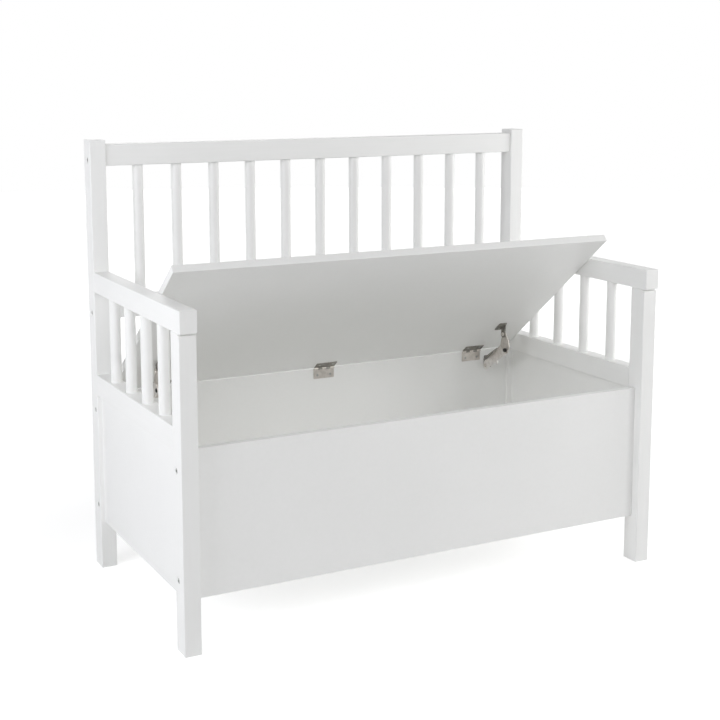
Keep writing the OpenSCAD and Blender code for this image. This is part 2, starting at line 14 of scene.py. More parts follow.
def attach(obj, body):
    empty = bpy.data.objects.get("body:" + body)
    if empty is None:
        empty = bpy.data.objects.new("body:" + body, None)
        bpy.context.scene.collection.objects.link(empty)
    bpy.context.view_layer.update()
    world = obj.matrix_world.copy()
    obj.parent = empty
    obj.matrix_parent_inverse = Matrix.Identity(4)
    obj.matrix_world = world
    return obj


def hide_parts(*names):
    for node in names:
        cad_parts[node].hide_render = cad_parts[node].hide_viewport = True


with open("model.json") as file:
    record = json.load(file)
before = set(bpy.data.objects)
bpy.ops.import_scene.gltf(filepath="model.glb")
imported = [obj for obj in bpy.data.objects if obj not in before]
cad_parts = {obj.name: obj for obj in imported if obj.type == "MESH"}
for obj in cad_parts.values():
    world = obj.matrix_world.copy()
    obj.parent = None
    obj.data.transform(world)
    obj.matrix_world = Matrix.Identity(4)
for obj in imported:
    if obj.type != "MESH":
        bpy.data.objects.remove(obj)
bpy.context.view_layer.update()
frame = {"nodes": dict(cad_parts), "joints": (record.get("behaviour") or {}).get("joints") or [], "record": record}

JOINTS = {joint["name"]: joint for joint in frame["joints"]}
BODY_OF = {node: body
           for body, nodes in frame["record"]["behaviour"]["bodies"].items()
           for node in nodes}
SIDES = ("left", "right")
HINGES = ("left", "middle", "right")
STANDING = Matrix()

# The lid's own frame has its origin on the hinge axis, as the lid lies when closed
HINGE_AXIS = Vector(JOINTS["lid_hinge"]["pos_m"])
LID_OPEN = math.radians(-JOINTS["lid_hinge"]["range_deg"][0])
LID_FRAME = Matrix.Translation(HINGE_AXIS) @ Matrix.Rotation(-LID_OPEN, 4, "X")

# How far the edges are rounded over
WOOD_EASE = 0.0018
BOARD_EASE = 0.0010
LID_EASE = 0.0014
ARM_PLATE_EASE = 0.0004
PLATE_EASE = 0.0003

# An edge that turns more than SHARP is rounded over, and a flatter one than SOFT is shaded smooth
SHARP = math.radians(50)
SOFT = math.radians(36)

# What is too small to see, what counts as the same height, and a cutting tool's reach past a face
SLIVER = 0.00002
NEAR = 0.0001
PAST = 0.001

# The gap that shows between a front leg and its arm
SHADOW_GAP_DEEP = 0.005
SHADOW_GAP_TALL = 0.0032

# Hinges. The steps of a sink are a screw's hole through a leaf and the cone for its head
LEAF_THICK = 0.0015
LEAF_ROUND = 0.0012
KNUCKLES = 5
KNUCKLE_GAP = 0.0003
KNUCKLE_RIM = 0.0002
SINK = [(0.0016, -0.004), (0.0016, -0.0013), (0.0049, 0.002)]

# Lid stays
PLATE_THICK = 0.0020
FLANGE_LONG = 0.030
FLANGE_ROUND = 0.003
PIVOT_ROUND = 0.0095
EAR_ROUND = 0.008
EAR_ROOT_ROUND = 0.001
EAR_ROOT_DEEP = 0.0012
EAR_ROOT_IN = 0.0045
RIVET_SHANK = 0.0025
RIVET_HEAD = 0.0016
CAP_TALL = 0.0066
HEEL_OUT = 0.008
HEEL_UP = 0.0135
ARM_END_UP = 0.012
LUG_OUT = 0.049
SWEEP = 0.033


# ---- Reading the frame ----


def islands(node, turn=STANDING):
    """The points of each separate solid of a CAD node, as seen after a turn."""
    mesh = frame["nodes"][node].data
    keys = [tuple(round(c, 5) for c in vertex.co) for vertex in mesh.vertices]
    group = {key: key for key in keys}

    def root(key):
        while group[key] != key:
            group[key] = group[group[key]]
            key = group[key]
        return key

    for face in mesh.polygons:
        first = root(keys[face.vertices[0]])
        for index in face.vertices[1:]:
            group[root(keys[index])] = first
    found = {}
    for key in group:
        found.setdefault(root(key), []).append(turn @ Vector(key))
    return list(found.values())


def span(points):
    """Lowest and highest corner of some points."""
    low = Vector(min(point[axis] for point in points) for axis in range(3))
    high = Vector(max(point[axis] for point in points) for axis in range(3))
    return low, high


def corners(node, turn=STANDING):
    """Lowest and highest corner of a CAD node, as seen after a turn."""
    return span([point for solid in islands(node, turn) for point in solid])


def fasteners(node, turn=STANDING):
    """The head's middle, direction, length and head's radius of each screw or bolt of a node."""
    found = []
    for points in islands(node, turn):
        low, high = span(points)
        size = high - low
        axis = max(range(3), key=lambda k: size[k])
        middle = (low + high) / 2

        def reach(end):
            near = [point for point in points if abs(point[axis] - end[axis]) < NEAR]
            return max(math.dist(point, middle) for point in near)

        head, tip = (low, high) if reach(low) > reach(high) else (high, low)
        at = middle.copy()
        at[axis] = head[axis]
        way = Vector((0, 0, 0))
        way[axis] = 1 if tip[axis] > head[axis] else -1
        radius = (size[axis - 1] + size[axis - 2]) / 4
        found.append((at, way, size[axis], radius))
    return found


# ---- Modelling ----


def deselect():
    bpy.ops.object.select_all(action="DESELECT")


def pick(piece):
    deselect()
    piece.select_set(True)
    bpy.context.view_layer.objects.active = piece


def settle(piece):
    """Puts the piece's place, turn and scale into its mesh."""
    pick(piece)
    bpy.ops.object.transform_apply(location=True, rotation=True, scale=True)
    return piece


def move(piece, turn):
    """Moves a piece's mesh by a matrix, and turns its faces out again if that mirrored it."""
    piece.matrix_world = turn @ piece.matrix_world
    settle(piece)
    if turn.determinant() < 0:
        face_out(piece)
    return piece


def face_out(piece):
    pick(piece)
    bpy.ops.object.mode_set(mode="EDIT")
    bpy.ops.mesh.select_all(action="SELECT")
    bpy.ops.mesh.remove_doubles(threshold=1e-6)
    bpy.ops.mesh.normals_make_consistent(inside=False)
    bpy.ops.object.mode_set(mode="OBJECT")
    return piece


def modify(piece, kind, **settings):
    modifier = piece.modifiers.new(kind, kind)
    for name, value in settings.items():
        setattr(modifier, name, value)
    pick(piece)
    bpy.ops.object.modifier_apply(modifier=modifier.name)
    return piece


def cut(piece, *tools):
    for tool in tools:
        modify(piece, "BOOLEAN", operation="DIFFERENCE", solver="EXACT", object=tool)
        bpy.data.objects.remove(tool)
    return piece


def weld(piece, *parts):
    for part in parts:
        modify(piece, "BOOLEAN", operation="UNION", solver="EXACT", object=part)
        bpy.data.objects.remove(part)
    return piece


def together(pieces):
    """Joins separate solids into one piece."""
    pick(pieces[0])
    for piece in pieces[1:]:
        piece.select_set(True)
    bpy.ops.object.join()
    return bpy.context.object


def copy_of(piece):
    made = piece.copy()
    made.data = piece.data.copy()
    bpy.context.collection.objects.link(made)
    return made


def block(low, high, ease=0.0):
    """A bar from corner to corner with its edges rounded over."""
    deselect()
    bpy.ops.mesh.primitive_cube_add(size=1, location=(low + high) / 2)
    piece = bpy.context.object
    piece.scale = high - low
    settle(piece)
    if ease:
        bpy.ops.object.mode_set(mode="EDIT")
        bpy.ops.mesh.select_all(action="SELECT")
        bpy.ops.mesh.bevel(offset=ease, segments=3, affect="EDGES")
        bpy.ops.object.mode_set(mode="OBJECT")
    return piece


def turned(profile, sides=48):
    """A round solid about the Z axis, through (radius, height) steps from the bottom up."""
    radius, height = profile[0]
    deselect()
    bpy.ops.mesh.primitive_circle_add(
        vertices=sides, radius=radius, fill_type="NGON", location=(0, 0, height))
    piece = settle(bpy.context.object)
    bpy.ops.object.mode_set(mode="EDIT")
    bpy.ops.mesh.select_all(action="SELECT")
    for next_radius, next_height in profile[1:]:
        rise = (0, 0, next_height - height)
        bpy.ops.mesh.extrude_region_move(TRANSFORM_OT_translate={"value": rise})
        growth = next_radius / radius
        bpy.ops.transform.resize(value=(growth, growth, 1), center_override=(0, 0, next_height))
        radius, height = next_radius, next_height
    bpy.ops.object.mode_set(mode="OBJECT")
    return face_out(piece)


def far_end(steps, length):
    """The profile steps of a rod's near end as they are at its far end."""
    return [(radius, length - height) for radius, height in reversed(steps)]


def stand(piece, at, way):
    """Turns a piece from +Z to a direction and moves it there."""
    turn = Vector(way).to_track_quat("Z", "Y").to_matrix().to_4x4()
    return move(piece, Matrix.Translation(at) @ turn)


def plate(rounds, thick, sides=40):
    """A flat plate on z = 0, whose outline runs round discs given as (x, y, radius)."""
    discs = []
    for x, y, radius in rounds:
        deselect()
        bpy.ops.mesh.primitive_cylinder_add(
            vertices=sides, radius=radius, depth=thick, location=(x, y, thick / 2))
        discs.append(settle(bpy.context.object))
    piece = together(discs)
    bpy.ops.object.mode_set(mode="EDIT")
    bpy.ops.mesh.select_all(action="SELECT")
    bpy.ops.mesh.convex_hull()
    bpy.ops.mesh.select_all(action="SELECT")
    bpy.ops.mesh.dissolve_limited(angle_limit=math.radians(1))
    bpy.ops.object.mode_set(mode="OBJECT")
    return face_out(piece)


def plate_across(x, rounds):
    """A plate across X from x upwards, whose outline runs round discs given as (y, z, radius)."""
    turn = Matrix(((0, 0, 1, x), (1, 0, 0, 0), (0, 1, 0, 0), (0, 0, 0, 1)))
    return move(plate(rounds, PLATE_THICK), turn)


def rounded_leaf(low, high, corner):
    """A thin plate from corner to corner of a box, rounded at its four corners."""
    size = high - low
    thin = min(range(3), key=lambda axis: size[axis])
    across, along = (axis for axis in range(3) if axis != thin)
    rounds = [(x, y, corner) for x in (low[across] + corner, high[across] - corner)
              for y in (low[along] + corner, high[along] - corner)]
    turn = Matrix.Identity(4)
    for column, axis in enumerate((across, along, thin)):
        for row in range(3):
            turn[row][column] = 1 if row == axis else 0
    turn[thin][3] = low[thin]
    return move(plate(rounds, size[thin]), turn)


def close_up(piece, within=SLIVER):
    """Merges the slivers, too small to see, that a cut leaves."""
    pick(piece)
    bpy.ops.object.mode_set(mode="EDIT")
    bpy.ops.mesh.select_all(action="SELECT")
    bpy.ops.mesh.remove_doubles(threshold=within)
    bpy.ops.mesh.select_all(action="SELECT")
    bpy.ops.mesh.dissolve_degenerate(threshold=within)
    bpy.ops.object.mode_set(mode="OBJECT")
    return piece


def ease_edges(piece, width):
    """Rounds over the sharp edges of a plate. A sliver left in it would hold the rounding back."""
    close_up(piece, 1.5 * SLIVER)
    modify(piece, "BEVEL", width=width, segments=2, limit_method="ANGLE", angle_limit=SHARP)
    return close_up(piece)


def smooth(piece):
    """Shades round stretches smooth and keeps flat faces flat."""
    pick(piece)
    bpy.ops.object.shade_smooth_by_angle(angle=SOFT)
    return modify(piece, "WEIGHTED_NORMAL", keep_sharp=True, weight=80)


def paint(piece, finish):
    piece.data.materials.clear()
    piece.data.materials.append(finish)


def hand_over(piece, node, ending, finish):
    """Names a finished piece, paints it and puts it in its CAD node's place."""
    smooth(piece)
    piece.name = node + ending
    piece.data.name = node + ending
    paint(piece, finish)
    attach(piece, BODY_OF[node])
    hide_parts(node)


def lacquered(piece, node, finish):
    hand_over(piece, node, "_lacquered", finish)


def nickel(piece, node, finish, ending="_plated"):
    hand_over(piece, node, ending, finish)


def zinc(piece, node):
    hand_over(piece, node, "_plated", ZINC)


# ---- Finishes ----


class Wire:
    """A number or colour on its way between two nodes. Arithmetic on it adds Math nodes."""

    def __init__(self, finish, output):
        self.finish = finish
        self.output = output

    def math(self, operation, *values):
        return self.finish.node("ShaderNodeMath", {"operation": operation}, dict(enumerate(values)))

    def __add__(self, other):
        return self.math("ADD", self, other)

    __radd__ = __add__

    def __mul__(self, other):
        return self.math("MULTIPLY", self, other)

    __rmul__ = __mul__


class Finish:
    """A material's node tree and the ways to add to it."""

    def __init__(self, tree):
        self.tree = tree

    def node(self, kind, settings=None, values=None, output=0):
        made = self.tree.nodes.new(kind)
        for name, value in (settings or {}).items():
            if name == "stops":
                ramp = made.color_ramp.elements
                while len(ramp) < len(value):
                    ramp.new(1)
                for stop, (at, level) in zip(ramp, value):
                    stop.position = at
                    stop.color = (level, level, level, 1)
            else:
                setattr(made, name, value)
        for key, value in (values or {}).items():
            self.feed(made.inputs[key], value)
        return Wire(self, made.outputs[output])

    def feed(self, socket, value):
        if isinstance(value, Wire):
            self.tree.links.new(value.output, socket)
        else:
            socket.default_value = value

    def place(self, stretch=(1, 1, 1)):
        """The point on the object, stretched along each axis."""
        point = self.node("ShaderNodeTexCoord", output="Object")
        return self.node("ShaderNodeMapping", values={"Vector": point, "Scale": stretch})

    def noise(self, at, scale, detail=2.0):
        values = {"Vector": at, "Scale": scale, "Detail": detail}
        return self.node("ShaderNodeTexNoise", values=values)

    def ramp(self, value, *stops):
        return self.node("ShaderNodeValToRGB", {"stops": stops}, {"Fac": value})

    def between(self, share, first, second):
        """A colour between two others. Sockets 6 and 7 and output 2 are a Mix node's colours."""
        settings = {"data_type": "RGBA", "clamp_factor": True}
        values = {"Factor": share, 6: first, 7: second}
        return self.node("ShaderNodeMix", settings, values, output=2)

    def bump(self, height, depth):
        return self.node("ShaderNodeBump", values={"Height": height, "Distance": depth})


def shade(name, **inputs):
    """A material with a Principled shader, whose inputs are values or functions of the finish."""
    material = bpy.data.materials.new(name)
    material.use_nodes = True
    finish = Finish(material.node_tree)
    shader = material.node_tree.nodes["Principled BSDF"]
    for key, value in inputs.items():
        label = key.replace("_", " ")
        finish.feed(shader.inputs[label], value(finish) if callable(value) else value)
    return material


LACQUER_SHADES = (0.900, 0.902, 0.890, 1), (0.925, 0.925, 0.916, 1)
PLASTIC_SHADES = (0.012, 0.012, 0.011, 1), (0.03, 0.028, 0.026, 1)
BEECH_SHADES = (0.50, 0.33, 0.17, 1), (0.68, 0.49, 0.29, 1)
WOOD_GRAIN_DEPTH = 0.00002
BOARD_GRAIN_DEPTH = 0.000012
BRUSHED_DEPTH = 0.00001


def lacquer(name, grain, grain_depth=WOOD_GRAIN_DEPTH):
    """White satin lacquer. The grain under it runs along the axis with the small stretch."""

    def colour(finish):
        cloud = finish.noise(finish.place(), 5, detail=3)
        streak = finish.noise(finish.place(grain), 160, detail=3)
        share = finish.ramp(0.6 * cloud + 0.4 * streak, (0.35, 0), (0.65, 1))
        return finish.between(share, *LACQUER_SHADES)

    def gloss(finish):
        return 0.34 + 0.14 * finish.noise(finish.place(), 28, detail=4)

    def surface(finish):
        peel = finish.noise(finish.place(), 420, detail=1)
        streak = finish.noise(finish.place(grain), 240, detail=4)
        return finish.bump(peel + streak, grain_depth)

    return shade(name, Base_Color=colour, Roughness=gloss, Normal=surface,
                 Coat_Weight=0.12, Coat_Roughness=0.2)


def plated(name, dull, bright, rough, rolled):
    """Plated steel, with fine lines from rolling along the axis with the small stretch."""

    def colour(finish):
        cloud = finish.noise(finish.place(), 120, detail=4)
        return finish.between(finish.ramp(cloud, (0.3, 0), (0.7, 1)), dull, bright)

    def gloss(finish):
        return rough + 0.16 * finish.noise(finish.place(rolled), 900, detail=3)

    def surface(finish):
        return finish.bump(finish.noise(finish.place(rolled), 1400), BRUSHED_DEPTH)

    return shade(name, Base_Color=colour, Metallic=0.92, Roughness=gloss, Normal=surface)


def black_plastic():
    def colour(finish):
        return finish.between(finish.noise(finish.place(), 300), *PLASTIC_SHADES)

    def gloss(finish):
        return 0.35 + 0.2 * finish.noise(finish.place(), 700)

    def surface(finish):
        return finish.bump(finish.noise(finish.place(), 2500), BRUSHED_DEPTH)

    return shade("black_plastic", Base_Color=colour, Roughness=gloss, Normal=surface)


def bare_beech():
    def colour(finish):
        rings = finish.noise(finish.place((1, 1, 0.1)), 500, detail=4)
        return finish.between(rings, *BEECH_SHADES)

    def surface(finish):
        return finish.bump(finish.noise(finish.place((1, 1, 0.1)), 900, detail=3), 0.00005)

    return shade("bare_beech", Base_Color=colour, Roughness=0.6, Normal=surface)


ALONG = 0.05
UPRIGHT = lacquer("lacquered_uprights", (1, 1, ALONG))
CROSSWISE = lacquer("lacquered_rails", (ALONG, 1, 1))
FRONT_TO_BACK = lacquer("lacquered_arms", (1, ALONG, 1))
SMOOTH_BOARD = lacquer("lacquered_boards", (1, 1, 1), BOARD_GRAIN_DEPTH)
ROLLED = (0.03, 1, 1)
NICKEL = plated("satin_nickel", (0.60, 0.56, 0.52, 1), (0.76, 0.72, 0.68, 1), 0.28, ROLLED)
# A lighter copy of the satin nickel, for the lower arms: painted light, standing in for the white surroundings
# they reflect
PAINTED_LIGHT_NICKEL = plated("bright_nickel", (0.80, 0.77, 0.74, 1), (0.95, 0.92, 0.90, 1), 0.22, ROLLED)
# A darker copy of the satin nickel, for the lid leaves, the lower arms' lips and the brackets: painted shade
PAINTED_SHADE_NICKEL = plated("dull_nickel", (0.24, 0.23, 0.21, 1), (0.36, 0.345, 0.315, 1), 0.36, ROLLED)
ZINC = plated("zinc_plate", (0.42, 0.42, 0.41, 1), (0.60, 0.60, 0.59, 1), 0.3, (1, 1, 0.2))
BLACK = black_plastic()
BEECH = bare_beech()


# ---- Fasteners ----

SOCKET_WIDTH = 0.005
SOCKET_DEEP = 0.003
NUT_SLOT = 0.0016
NUT_SLOT_DEEP = 0.0012
NUT_BORE = 0.0031


def hexagon(radius, depth):
    """A key's socket about the Z axis, sunk from z = 0."""
    return turned([(radius * 0.96, -depth), (radius, -depth + 0.0003), (radius, PAST)], sides=6)


def bolt(length, head_radius):
    """A socket bolt that points up the Z axis, with its head's top at z = 0."""
    shank = head_radius * 0.6
    head = head_radius * 1.2
    rim = 0.0006
    profile = [(head_radius - rim, 0), (head_radius - rim * 0.3, rim * 0.3), (head_radius, rim),
               (head_radius, head), (shank, head), (shank, length)]
    piece = turned(profile, sides=40)
    corner = SOCKET_WIDTH / 2 / math.cos(math.radians(30))
    key = move(hexagon(corner, SOCKET_DEEP), Matrix.Rotation(math.pi, 4, "X"))
    return cut(piece, key)


def screw(length, head_radius):
    """A countersunk cross-head screw that points up the Z axis, with its head's top at z = 0."""
    shank = head_radius * 0.55
    lip = 0.0002
    profile = [(head_radius - lip, 0), (head_radius, lip), (shank, head_radius - shank + lip),
               (shank, length - shank), (shank * 0.2, length)]
    piece = turned(profile, sides=28)
    arm = head_radius * 0.62
    width = head_radius * 0.14
    depth = head_radius * 0.5
    for reach in (Vector((arm, width, depth)), Vector((width, arm, depth))):
        cut(piece, block(-reach, reach))
    return piece


def set_of(node, model, turn=STANDING):
    """All the screws or bolts of a CAD node, each a copy of one model of its length."""
    models = {}
    made = []
    for at, way, length, radius in fasteners(node, turn):
        key = round(length, 4)
        if key not in models:
            models[key] = model(length, radius)
        made.append(stand(copy_of(models[key]), at, way))
    for spare in models.values():
        bpy.data.objects.remove(spare)
    return move(together(made), turn.inverted())


def barrel_nut(low, high):
    """A cross nut along Y, slotted at the end that shows, with the bolt's hole through it."""
    radius = (high.x - low.x) / 2
    rim = 0.0005
    length = high.y - low.y
    middle = (low + high) / 2
    near = [(radius - rim, 0), (radius, rim)]
    piece = turned(near + far_end(near, length), sides=36)
    across, half = radius * 0.8, NUT_SLOT / 2
    cut(piece, block(Vector((-across, -half, length - NUT_SLOT_DEEP)),
                     Vector((across, half, length + PAST))))
    stand(piece, (middle.x, low.y, middle.z), (0, 1, 0))
    bore = turned([(NUT_BORE, -radius * 2), (NUT_BORE, radius * 2)], sides=32)
    return close_up(cut(piece, stand(bore, middle, (1, 0, 0))))


def dress_fasteners():
    zinc(set_of("frame_bolts", bolt), "frame_bolts")
    zinc(set_of("box_screws", screw), "box_screws")
    zinc(set_of("lid_screws", screw, LID_FRAME.inverted()), "lid_screws")
    nuts = [barrel_nut(*span(points)) for points in islands("barrel_nuts")]
    zinc(together(nuts), "barrel_nuts")
    paint(frame["nodes"]["frame_dowels"], BEECH)


# ---- Frame ----

BOLTS = fasteners("frame_bolts")


def counterbore(at, way, head_radius):
    """A tool for the sunk seat of a bolt's head, with its rim eased."""
    seat = head_radius + 0.0005
    deep = 0.007
    rim = 0.0007
    out = 0.004
    profile = [(seat, -deep), (seat, -2 * rim), (seat + rim, -rim), (seat + rim + out, out)]
    return stand(turned(profile, sides=40), Vector(at), -Vector(way))


def holds(low, high, point):
    return all(low[axis] < point[axis] < high[axis] for axis in range(3))


def bolt_seats(low, high):
    """Tools for the bolts whose heads lie in a leg or post."""
    return [counterbore(at, way, radius) for at, way, _, radius in BOLTS if holds(low, high, at)]


def nut_holes(low, high):
    """Tools for the barrel nuts' holes in a rail or panel, open at its back."""
    tools = []
    for points in islands("barrel_nuts"):
        nut_low, nut_high = span(points)
        middle = (nut_low + nut_high) / 2
        if holds(low, high, middle):
            radius = (nut_high.x - nut_low.x) / 2 + 0.0001
            rim = 0.0006
            depth = high.y - nut_low.y
            profile = [(radius, -depth), (radius, -rim), (radius + rim, 0),
                       (radius + 3 * rim, 2 * rim)]
            tools.append(stand(turned(profile, sides=40), (middle.x, high.y, middle.z), (0, 1, 0)))
    return tools


def dress_bar(node, finish, ease=WOOD_EASE, tools=()):
    low, high = corners(node)
    piece = block(low, high, ease)
    cut(piece, *bolt_seats(low, high), *nut_holes(low, high), *tools)
    lacquered(piece, node, finish)


def dress_front_leg(node):
    """A leg with a narrow shadow gap across its front, right under the arm."""
    low, high = corners(node)
    out = Vector((SHADOW_GAP_DEEP, SHADOW_GAP_DEEP, SHADOW_GAP_TALL))
    gap = block(Vector((low.x, low.y, high.z)) - out, Vector((high.x, low.y, high.z)) + out)
    dress_bar(node, UPRIGHT, tools=[gap])


def dress_spindle(node):
    """A round bar with a thinner tenon in the rail at each end."""
    low, high = corners(node)
    middle = (low + high) / 2
    radius = (high.x - low.x) / 2
    points = islands(node)[0]
    tenon_radius = max(point.x for point in points if point.z < low.z + NEAR) - middle.x
    wide = [point for point in points if point.x > middle.x + radius - NEAR]
    shoulder = min(point.z for point in wide) - low.z
    height = high.z - low.z
    ease = 0.0004
    near = [(tenon_radius, 0), (tenon_radius, shoulder), (radius - ease, shoulder),
            (radius, shoulder + ease)]
    piece = turned(near + [(radius, height / 2)] + far_end(near, height))
    stand(piece, (middle.x, middle.y, low.z), (0, 0, 1))
    lacquered(piece, node, UPRIGHT)


def dress_frame():
    for side in SIDES:
        dress_front_leg("front_leg_" + side)
        dress_bar("back_post_" + side, UPRIGHT)
        dress_bar("arm_" + side, FRONT_TO_BACK)
        dress_bar("side_rail_" + side, FRONT_TO_BACK)
        dress_bar("side_panel_" + side, SMOOTH_BOARD, BOARD_EASE)
    dress_bar("back_top_rail", CROSSWISE)
    dress_bar("back_lower_rail", CROSSWISE)
    dress_bar("front_panel", SMOOTH_BOARD, BOARD_EASE)
    dress_bar("back_panel", SMOOTH_BOARD, BOARD_EASE)
    for node in frame["nodes"]:
        if "_spindle_" in node:
            dress_spindle(node)


def dress_bottom():
    """The bottom goes round the four legs, on two battens."""
    low, high = corners("bottom_panel")
    piece = block(low, high, BOARD_EASE)
    gap = Vector((0.0003, 0.0003, 0.01))
    for end in ("front_leg_", "back_post_"):
        for side in SIDES:
            leg_low, leg_high = corners(end + side)
            leg_low.z, leg_high.z = low.z, high.z
            cut(piece, block(leg_low - gap, leg_high + gap))
    lacquered(piece, "bottom_panel", SMOOTH_BOARD)
    battens = [block(*span(points), BOARD_EASE) for points in islands("bottom_battens")]
    lacquered(together(battens), "bottom_battens", CROSSWISE)


def dress_lid():
    piece = block(*corners("seat_lid", LID_FRAME.inverted()), LID_EASE)
    lacquered(move(piece, LID_FRAME), "seat_lid", SMOOTH_BOARD)


# ---- Hinges ----


def hinge_leaf(length, width, knuckle, back, own, screw_holes):
    """A leaf that hangs down from the hinge axis, with the knuckles numbered in own."""
    front = back - LEAF_THICK
    top = -knuckle - 2 * KNUCKLE_GAP
    end = length / 2
    foot, head = Vector((-end, front, -width)), Vector((end, back, KNUCKLE_RIM))
    piece = rounded_leaf(foot, head, LEAF_ROUND)
    pitch = length / KNUCKLES
    for index in range(KNUCKLES):
        if index in own:
            continue
        left = index * pitch - end - (KNUCKLE_GAP / 2 if index else pitch)
        right = (index + 1) * pitch - end + (KNUCKLE_GAP / 2 if index < KNUCKLES - 1 else pitch)
        cut(piece, block(Vector((left, -back, top)), Vector((right, 2 * back, knuckle))))
    for index in own:
        left = index * pitch - end + (KNUCKLE_GAP / 2 if index else 0)
        right = (index + 1) * pitch - end - (KNUCKLE_GAP / 2 if index < KNUCKLES - 1 else 0)
        profile = [(knuckle - KNUCKLE_RIM, left), (knuckle, left + KNUCKLE_RIM),
                   (knuckle, right - KNUCKLE_RIM), (knuckle - KNUCKLE_RIM, right)]
        weld(piece, stand(turned(profile, sides=32), (0, 0, 0), (1, 0, 0)))
    for at in screw_holes:
        cut(piece, stand(turned(SINK, sides=28), at, (0, -1, 0)))
    return ease_edges(piece, PLATE_EASE)


def dress_hinges():
    low, high = corners("hinge_box_leaf_middle")
    length = high.x - low.x
    width = HINGE_AXIS.z - low.z
    knuckle = high.z - HINGE_AXIS.z
    back = high.y - HINGE_AXIS.y
    holes = [at - HINGE_AXIS for at, way, _, _ in fasteners("box_screws")
             if way.y > 0 and low.x < at.x < high.x and low.z < at.z < high.z]
    fixed = hinge_leaf(length, width, knuckle, back, (0, 2, 4), holes)
    swung = hinge_leaf(length, width, knuckle, back, (1, 3), holes)
    under_lid = Matrix(((1, 0, 0, 0), (0, 0, 1, 0), (0, 1, 0, 0), (0, 0, 0, 1)))
    for place in HINGES:
        low, high = corners("hinge_box_leaf_" + place)
        aside = Matrix.Translation(((low.x + high.x) / 2, 0, 0))
        box_leaf = move(copy_of(fixed), Matrix.Translation(HINGE_AXIS) @ aside)
        lid_leaf = move(copy_of(swung), LID_FRAME @ aside @ under_lid)
        nickel(box_leaf, "hinge_box_leaf_" + place, NICKEL)
        # The lid leaves get the darker copy of the nickel: painted shade
        nickel(lid_leaf, "hinge_lid_leaf_" + place, PAINTED_SHADE_NICKEL)
    bpy.data.objects.remove(fixed)
    bpy.data.objects.remove(swung)
    pins = []
    for points in islands("hinge_pins"):
        low, high = span(points)
        radius = (high.z - low.z) / 2
        cap = 0.0008
        shank = 0.001
        near = [(radius * 0.6, 0), (radius, cap * 0.5), (radius, cap), (shank, cap)]
        pin = turned(near + far_end(near, high.x - low.x), sides=28)
        pins.append(stand(pin, (low.x, HINGE_AXIS.y, HINGE_AXIS.z), (1, 0, 0)))
    nickel(together(pins), "hinge_pins", NICKEL)


# ---- Lid stays ----


def rivet(x0, x1, at, head_radius, shank_radius, head_height):
    """A hollow rivet along X, with a rolled head outside x0 and one outside x1."""
    long = x1 - x0
    # The rolled head from its bore outwards, in shares of its radius and height
    bore = 0.42
    roll = [(bore, 0.8), (0.5, 1), (0.7, 1), (0.88, 0.7), (1, 0.3), (1, 0)]
    near = [(head_radius * bore, long * 0.35)]
    near += [(head_radius * out, -head_height * up) for out, up in roll]
    near += [(shank_radius, 0)]
    piece = turned(near + far_end(near, long), sides=36)
    return stand(piece, (x0, at[0], at[1]), (1, 0, 0))


def dress_lower_arm(side, base, elbow):
    """The lower arm, made along -Y from its pivot, with a lip folded in along its upper edge."""
    node = "stay_lower_arm_" + side
    tilt = math.atan2(elbow.z - base.z, base.y - elbow.y)
    own_frame = Matrix.Translation((0, base.y, base.z)) @ Matrix.Rotation(-tilt, 4, "X")
    low, high = corners(node, own_frame.inverted())
    reach = (elbow - base).length
    foot = -low.y - reach
    toe = Vector((base.x, foot - reach, high.z))
    heel = Vector((base.x, -HEEL_OUT, HEEL_UP))
    ease = 0.003
    under = -PIVOT_ROUND + 0.0025
    outline = [(0, 0, PIVOT_ROUND), (-reach, 0, foot),
               (low.y + ease, ARM_END_UP - ease, ease), (toe.y, toe.z - ease, ease),
               (heel.y, heel.z - ease, ease), (-PIVOT_ROUND + ease, under + ease, ease)]
    inner = min(base.x, base.x + math.copysign(PLATE_THICK, base.x))
    piece = plate_across(inner, outline)
    lug = 0.004
    weld(piece, plate_across(inner, [(-LUG_OUT, low.z + lug, lug), (-LUG_OUT, 0, lug)]))
    # The lip is wide by the heel, and its end stays clear of the upper arm's sweep
    edge = (heel - toe).length
    end = SWEEP - foot
    narrow = PLATE_THICK * 0.5
    wide = high.x - low.x - 1.5 * PLATE_THICK
    lip = plate([(0, end + narrow, narrow), (0, edge - narrow, narrow),
                 (-PLATE_THICK, end + narrow, narrow), (-wide, (end + edge) / 2, PLATE_THICK),
                 (-wide, edge - PLATE_THICK, PLATE_THICK)], PLATE_THICK)
    inward = math.copysign(1, base.x)
    along_edge = (Matrix.Translation((base.x + inward * PLATE_THICK / 2, toe.y, toe.z))
                  @ Matrix.Rotation(-math.atan2(toe.z - heel.z, heel.y - toe.y), 4, "X")
                  @ Matrix.Translation((0, 0, -PLATE_THICK)) @ Matrix.Diagonal((inward, 1, 1, 1)))
    move(lip, along_edge)
    # The lower arm's plate is painted lighter, a painted reflection, and its lip darker, painted shade
    parts = (piece, PAINTED_LIGHT_NICKEL, "_plated"), (lip, PAINTED_SHADE_NICKEL, "_lip_plated")
    for part, finish, ending in parts:
        ease_edges(part, ARM_PLATE_EASE)
        nickel(move(part, own_frame), node, finish, ending)


def dress_upper_arm(side, elbow, pin):
    """The upper arm, a flat plate from the elbow to the lid's rivet, narrower above its waist."""
    node = "stay_upper_arm_" + side
    low, high = corners(node)
    shoulder = elbow.z + 0.009
    waist = elbow.z + 0.66 * (pin.z - elbow.z)
    lower = [(elbow.y, elbow.z, EAR_ROUND),
             (low.y + 0.004, shoulder, 0.004), (high.y - 0.004, shoulder, 0.004),
             (low.y + 0.006, waist, 0.003), (high.y - 0.006, waist, 0.003)]
    upper = [(low.y + 0.008, waist, 0.004), (high.y - 0.008, waist, 0.004),
             (pin.y, pin.z, EAR_ROUND)]
    piece = weld(plate_across(low.x, lower), plate_across(low.x, upper))
    nickel(ease_edges(piece, PLATE_EASE), node, NICKEL)


